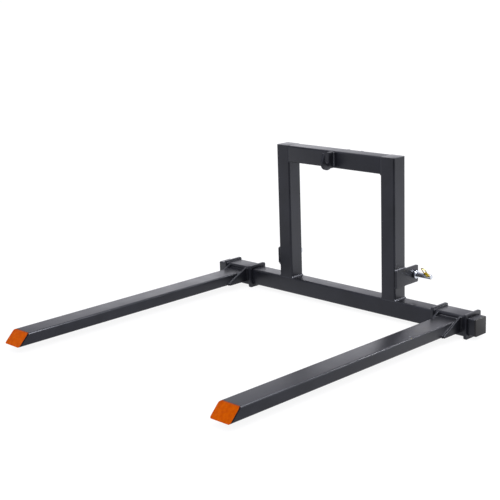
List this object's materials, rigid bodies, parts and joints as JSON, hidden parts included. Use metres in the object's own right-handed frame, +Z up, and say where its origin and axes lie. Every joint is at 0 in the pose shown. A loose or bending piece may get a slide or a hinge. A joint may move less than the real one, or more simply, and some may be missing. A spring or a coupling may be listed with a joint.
{
  "type": "three-point pallet fork",
  "caption": "Three-point linkage pallet fork: a welded square-tube mast with hitch pins, top link ears and a plate hook, and tube forks whose collars slide along its crossbar.",
  "frame": {"origin": "on the ground, below the middle of the outline: halfway between the crossbar's ends and halfway between the fork tips and the rear edges of the top link ears", "axes": "+X along the crossbar to the user's left when looking from the tractor at the forks' backs, +Y from the forks to the tractor, +Z up; the forks point to -Y"},
  "size_m": [1.5, 1.459, 0.705],
  "materials": {
    "black_paint": "semi-gloss black powder coat",
    "orange_paint": "semi-gloss orange paint",
    "black_plastic": "fine-grained moulding",
    "bright_zinc": "bright zinc plating",
    "yellow_zinc": "yellow passivated zinc plating"
  },
  "bodies": {
    "frame": {"crossbar": "black_paint", "end_cap_left": "black_plastic", "end_cap_right": "black_plastic", "post_left": "black_paint", "post_right": "black_paint", "post_cap_left": "black_paint", "post_cap_right": "black_paint", "top_beam": "black_paint", "lower_plate_left": "black_paint", "lower_plate_right": "black_paint", "hitch_pin_left": "bright_zinc", "hitch_pin_right": "bright_zinc", "pin_washer_left": "bright_zinc", "pin_washer_right": "bright_zinc", "pin_nut_left": "bright_zinc", "pin_nut_right": "bright_zinc", "beam_hook": "black_paint", "top_link_ear_left": "black_paint", "top_link_ear_right": "black_paint"},
    "fork_left": {"sleeve_left": "black_paint", "inner_flange_left": "black_paint", "outer_flange_left": "black_paint", "fork_tube_left": "black_paint", "tip_plate_left": "orange_paint", "inner_gusset_left": "black_paint", "outer_gusset_left": "black_paint", "weld_nut_left": "black_paint", "locking_bolt_left": "bright_zinc"},
    "fork_right": {"sleeve_right": "black_paint", "inner_flange_right": "black_paint", "outer_flange_right": "black_paint", "fork_tube_right": "black_paint", "tip_plate_right": "orange_paint", "inner_gusset_right": "black_paint", "outer_gusset_right": "black_paint", "weld_nut_right": "black_paint", "locking_bolt_right": "bright_zinc"},
    "lynch_pin_left": {"lynch_pin_left": "yellow_zinc"},
    "lynch_ring_left": {"lynch_ring_left": "yellow_zinc"},
    "lynch_pin_right": {"lynch_pin_right": "yellow_zinc"},
    "lynch_ring_right": {"lynch_ring_right": "yellow_zinc"}
  },
  "joints": [
    {"name": "fork_slide_right", "type": "slide", "parent": "frame", "child": "fork_right", "axis": [1, 0, 0], "range_m": [-0.19, 0.03]},
    {"name": "fork_slide_left", "type": "slide", "parent": "frame", "child": "fork_left", "axis": [1, 0, 0], "range_m": [-0.045, 0.175]},
    {"name": "lynch_pull_right", "type": "slide", "parent": "frame", "child": "lynch_pin_right", "axis": [0, -0.766, 0.6428], "range_m": [0, 0.07]},
    {"name": "lynch_pull_left", "type": "slide", "parent": "frame", "child": "lynch_pin_left", "axis": [0, -0.766, 0.6428], "range_m": [0, 0.07]},
    {"name": "ring_swing_right", "type": "hinge", "parent": "lynch_pin_right", "child": "lynch_ring_right", "pos_m": [0.4205, 0.67978, 0.19986], "axis": [0.9703, -0.1555, -0.1853], "range_deg": [-125, 145]},
    {"name": "ring_swing_left", "type": "hinge", "parent": "lynch_pin_left", "child": "lynch_ring_left", "pos_m": [-0.4205, 0.67978, 0.19986], "axis": [0.9703, 0.1555, 0.1853], "range_deg": [-60, 180]}
  ]
}
